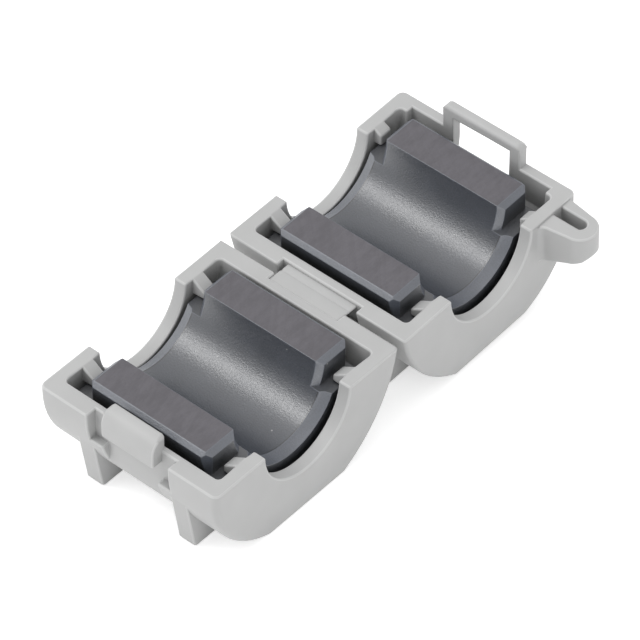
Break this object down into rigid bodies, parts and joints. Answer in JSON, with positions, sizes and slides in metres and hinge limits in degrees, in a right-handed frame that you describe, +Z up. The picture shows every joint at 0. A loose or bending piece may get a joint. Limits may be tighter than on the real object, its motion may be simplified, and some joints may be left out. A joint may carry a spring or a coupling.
{
  "type": "clip-on ferrite bead",
  "caption": "Split ferrite sleeve in a hinged grey plastic case that snaps shut around a cable, with a latch loop, feet and a lug for a cable tie.",
  "frame": {"origin": "on the cable axis of the base core, halfway along the core, in the plane of its mating faces", "axes": "+X along the cable towards the tie lug, +Y from the base half to the lid half, +Z up"},
  "size_m": [0.0442, 0.0859, 0.0242],
  "materials": {
    "case": "moulded light grey plastic, low sheen",
    "ferrite": "ground dark grey ferrite ceramic, satin",
    "spring": "rolled spring steel"
  },
  "bodies": {
    "base": {"case_base": "case", "hinge_strap": "case", "core_spring_base": "spring"},
    "lid": {"case_lid": "case", "core_spring_lid": "spring"},
    "core_base": {"core_base": "ferrite"},
    "core_lid": {"core_lid": "ferrite"}
  },
  "joints": [
    {"name": "lid_hinge", "type": "hinge", "parent": "base", "child": "lid", "pos_m": [0, 0.02185, -0.0014], "axis": [1, 0, 0], "range_deg": [-2.3, 177.7], "deforming": ["hinge_strap"]},
    {"name": "core_press_base", "type": "slide", "parent": "base", "child": "core_base", "axis": [0, 0, 1], "range_m": [-0.00144, 0.00003], "deforming": ["core_spring_base"]},
    {"name": "core_press_lid", "type": "slide", "parent": "lid", "child": "core_lid", "axis": [0, -0.0401, 0.9992], "range_m": [-0.00144, 0.00003], "deforming": ["core_spring_lid"]}
  ],
  "couplings": [
    {"joint": "core_press_base", "follows": "lid_hinge", "m_per_rad": -0.000458},
    {"joint": "core_press_lid", "follows": "lid_hinge", "m_per_rad": -0.000458}
  ]
}
